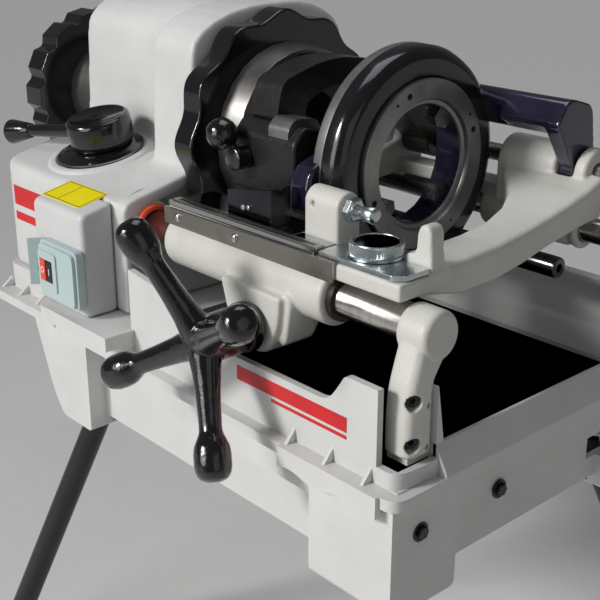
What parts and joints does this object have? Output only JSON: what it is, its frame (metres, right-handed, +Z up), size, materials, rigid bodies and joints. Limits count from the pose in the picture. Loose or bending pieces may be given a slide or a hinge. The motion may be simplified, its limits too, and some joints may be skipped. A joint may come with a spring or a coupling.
{
  "type": "pipe threading machine",
  "caption": "Pipe threading machine on splayed legs: hollow spindle with hammer chuck, sliding carriage with handwheel, fold-away cutter and thread cutting head over a chip tub.",
  "frame": {"origin": "on the floor, under the middle of the machine's bounding box", "axes": "+X along the pipe from the headstock to the carriage end, +Y to the back, +Z up"},
  "size_m": [1.1316, 0.6916, 0.961],
  "materials": {
    "light_grey_paint": "satin hammered paint",
    "gloss_black_enamel": "gloss black enamel",
    "dark_iron": "oily black",
    "ground_steel": "ground and oiled",
    "stainless_sheet": "rolled, oily",
    "zinc_plate": "zinc plated",
    "machined_steel": "machined",
    "black_tube": "black powder coat",
    "black_rubber": "matt",
    "orange_red_plastic": "matt",
    "switch_blue_plastic": "satin",
    "button_red": "gloss",
    "button_black": "gloss",
    "bronze_bush": "dark bronze"
  },
  "bodies": {
    "frame": {"bed_casting": "light_grey_paint", "chip_tray": "dark_iron", "leg_front_left": "black_tube", "leg_front_right": "black_tube", "leg_rear_left": "black_tube", "leg_rear_right": "black_tube", "headstock_casting": "light_grey_paint", "lever_flange": "gloss_black_enamel", "switch_box": "light_grey_paint", "switch_housing": "switch_blue_plastic", "cable_gland": "black_rubber", "motor_body": "light_grey_paint", "fan_cover": "dark_iron", "front_rail": "ground_steel", "rear_rail": "ground_steel", "front_pillar": "light_grey_paint", "rear_pillar": "light_grey_paint", "rail_seal": "orange_red_plastic", "oil_pipe": "zinc_plate"},
    "lever": {"speed_lever": "gloss_black_enamel", "lever_knob": "gloss_black_enamel"},
    "stop_button": {"stop_button": "button_red"},
    "start_button": {"start_button": "button_black"},
    "spindle": {"spindle": "machined_steel", "spindle_gear": "machined_steel"},
    "layshaft": {"layshaft": "machined_steel"},
    "motor_shaft": {"motor_shaft": "machined_steel"},
    "hammer_wheel": {"hammer_wheel": "dark_iron"},
    "rear_wheel": {"rear_chuck_wheel": "gloss_black_enamel"},
    "carriage": {"carriage_casting": "light_grey_paint", "rail_bush": "bronze_bush", "front_strip": "stainless_sheet", "top_plate": "stainless_sheet", "guide_strip": "stainless_sheet", "knob_plate": "zinc_plate", "stop_screw": "zinc_plate", "stop_nut": "zinc_plate", "cutter_bracket": "stainless_sheet", "pivot_shaft": "ground_steel"},
    "knurled_knob": {"knurled_knob": "zinc_plate"},
    "feed": {"handwheel": "gloss_black_enamel", "pinion_shaft": "machined_steel"},
    "die_head": {"die_head_body": "gloss_black_enamel", "die_head_face": "machined_steel"},
    "cam_ring": {"cam_ring": "dark_iron"},
    "cutter": {"cutter_frame": "dark_iron"},
    "cutter_screw": {"cutter_screw": "dark_iron"},
    "cutter_fork": {"cutter_fork": "dark_iron"},
    "cutter_wheel": {"cutter_wheel": "machined_steel"},
    "chuck_jaw_1": {"chuck_jaw_1": "machined_steel"},
    "rear_jaw_1": {"rear_jaw_1": "machined_steel"},
    "chuck_jaw_2": {"chuck_jaw_2": "machined_steel"},
    "rear_jaw_2": {"rear_jaw_2": "machined_steel"},
    "chuck_jaw_3": {"chuck_jaw_3": "machined_steel"},
    "rear_jaw_3": {"rear_jaw_3": "machined_steel"},
    "chaser_1": {"chaser_1": "machined_steel"},
    "chaser_2": {"chaser_2": "machined_steel"},
    "chaser_3": {"chaser_3": "machined_steel"},
    "chaser_4": {"chaser_4": "machined_steel"}
  },
  "joints": [
    {"name": "speed_lever", "type": "hinge", "parent": "frame", "child": "lever", "pos_m": [-0.19977, -0.11988, 0.7546], "axis": [0, -0.2164, 0.9763], "range_deg": [-12, 12]},
    {"name": "stop_button", "type": "slide", "parent": "frame", "child": "stop_button", "axis": [0, 1, 0], "range_m": [0, 0.003], "stiffness_N_per_m": 400, "springref_m": -0.001},
    {"name": "start_button", "type": "slide", "parent": "frame", "child": "start_button", "axis": [0, 1, 0], "range_m": [0, 0.003], "stiffness_N_per_m": 400, "springref_m": -0.001},
    {"name": "spindle_turn", "type": "hinge", "parent": "frame", "child": "spindle", "pos_m": [-0.18577, 0.01812, 0.799], "axis": [1, 0, 0], "continuous": true},
    {"name": "layshaft_turn", "type": "hinge", "parent": "frame", "child": "layshaft", "pos_m": [-0.18577, 0.10168, 0.69941], "axis": [1, 0, 0], "continuous": true},
    {"name": "motor_shaft_turn", "type": "hinge", "parent": "frame", "child": "motor_shaft", "pos_m": [-0.18577, 0.13768, 0.63706], "axis": [1, 0, 0], "continuous": true},
    {"name": "hammer_wheel_turn", "type": "hinge", "parent": "spindle", "child": "hammer_wheel", "pos_m": [0.00423, 0.01812, 0.799], "axis": [1, 0, 0], "range_deg": [0, 40]},
    {"name": "rear_wheel_turn", "type": "hinge", "parent": "spindle", "child": "rear_wheel", "pos_m": [-0.42177, 0.01812, 0.799], "axis": [1, 0, 0], "range_deg": [0, 40]},
    {"name": "chuck_jaw_1_slide", "type": "slide", "parent": "spindle", "child": "chuck_jaw_1", "axis": [0, 0, -1], "range_m": [0, 0.014]},
    {"name": "rear_jaw_1_slide", "type": "slide", "parent": "rear_wheel", "child": "rear_jaw_1", "axis": [0, 0, -1], "range_m": [0, 0.014]},
    {"name": "chuck_jaw_2_slide", "type": "slide", "parent": "spindle", "child": "chuck_jaw_2", "axis": [0, 0.866, 0.5], "range_m": [0, 0.014]},
    {"name": "rear_jaw_2_slide", "type": "slide", "parent": "rear_wheel", "child": "rear_jaw_2", "axis": [0, 0.866, 0.5], "range_m": [0, 0.014]},
    {"name": "chuck_jaw_3_slide", "type": "slide", "parent": "spindle", "child": "chuck_jaw_3", "axis": [0, -0.866, 0.5], "range_m": [0, 0.014]},
    {"name": "rear_jaw_3_slide", "type": "slide", "parent": "rear_wheel", "child": "rear_jaw_3", "axis": [0, -0.866, 0.5], "range_m": [0, 0.014]},
    {"name": "carriage_slide", "type": "slide", "parent": "frame", "child": "carriage", "axis": [1, 0, 0], "range_m": [-0.006, 0.042]},
    {"name": "handwheel_turn", "type": "hinge", "parent": "carriage", "child": "feed", "pos_m": [0.23023, -0.22988, 0.652], "axis": [0, 1, 0], "range_deg": [-81, 12]},
    {"name": "knurled_knob_turn", "type": "hinge", "parent": "carriage", "child": "knurled_knob", "pos_m": [0.36023, -0.15588, 0.76], "axis": [0, 0, 1], "continuous": true},
    {"name": "die_head_flip", "type": "hinge", "parent": "carriage", "child": "die_head", "pos_m": [0.36023, 0.17512, 0.787], "axis": [-1, 0, 0], "range_deg": [0, 110]},
    {"name": "cam_ring_turn", "type": "hinge", "parent": "die_head", "child": "cam_ring", "pos_m": [0.22423, 0.01812, 0.799], "axis": [1, 0, 0], "range_deg": [0, 30]},
    {"name": "chaser_1_slide", "type": "slide", "parent": "die_head", "child": "chaser_1", "axis": [0, -0.7071, 0.7071], "range_m": [0, 0.0052]},
    {"name": "chaser_2_slide", "type": "slide", "parent": "die_head", "child": "chaser_2", "axis": [0, -0.7071, -0.7071], "range_m": [0, 0.0052]},
    {"name": "chaser_3_slide", "type": "slide", "parent": "die_head", "child": "chaser_3", "axis": [0, 0.7071, -0.7071], "range_m": [0, 0.0052]},
    {"name": "chaser_4_slide", "type": "slide", "parent": "die_head", "child": "chaser_4", "axis": [0, 0.7071, 0.7071], "range_m": [0, 0.0052]},
    {"name": "cutter_flip", "type": "hinge", "parent": "carriage", "child": "cutter", "pos_m": [0.12923, 0.17512, 0.787], "axis": [-1, 0, 0], "range_deg": [0, 100]},
    {"name": "cutter_screw_turn", "type": "hinge", "parent": "cutter", "child": "cutter_screw", "pos_m": [0.11423, -0.12988, 0.805], "axis": [0, 1, 0], "range_deg": [0, 90]},
    {"name": "cutter_fork_slide", "type": "slide", "parent": "cutter", "child": "cutter_fork", "axis": [0, 1, 0], "range_m": [0, 0.0066]},
    {"name": "cutter_wheel_turn", "type": "hinge", "parent": "cutter_fork", "child": "cutter_wheel", "pos_m": [0.17123, -0.01988, 0.785], "axis": [1, 0, 0], "continuous": true}
  ],
  "couplings": [
    {"joint": "layshaft_turn", "follows": "spindle_turn", "ratio": -3.3333},
    {"joint": "motor_shaft_turn", "follows": "spindle_turn", "ratio": 10},
    {"joint": "chuck_jaw_1_slide", "follows": "hammer_wheel_turn", "m_per_rad": 0.0195},
    {"joint": "rear_jaw_1_slide", "follows": "rear_wheel_turn", "m_per_rad": 0.0195},
    {"joint": "chuck_jaw_2_slide", "follows": "hammer_wheel_turn", "m_per_rad": 0.0195},
    {"joint": "rear_jaw_2_slide", "follows": "rear_wheel_turn", "m_per_rad": 0.0195},
    {"joint": "chuck_jaw_3_slide", "follows": "hammer_wheel_turn", "m_per_rad": 0.0195},
    {"joint": "rear_jaw_3_slide", "follows": "rear_wheel_turn", "m_per_rad": 0.0195},
    {"joint": "handwheel_turn", "follows": "carriage_slide", "rad_per_m": -33.333},
    {"joint": "chaser_1_slide", "follows": "cam_ring_turn", "m_per_rad": 0.0095},
    {"joint": "chaser_2_slide", "follows": "cam_ring_turn", "m_per_rad": 0.0095},
    {"joint": "chaser_3_slide", "follows": "cam_ring_turn", "m_per_rad": 0.0095},
    {"joint": "chaser_4_slide", "follows": "cam_ring_turn", "m_per_rad": 0.0095},
    {"joint": "cutter_fork_slide", "follows": "cutter_screw_turn", "m_per_rad": 0.0041}
  ]
}
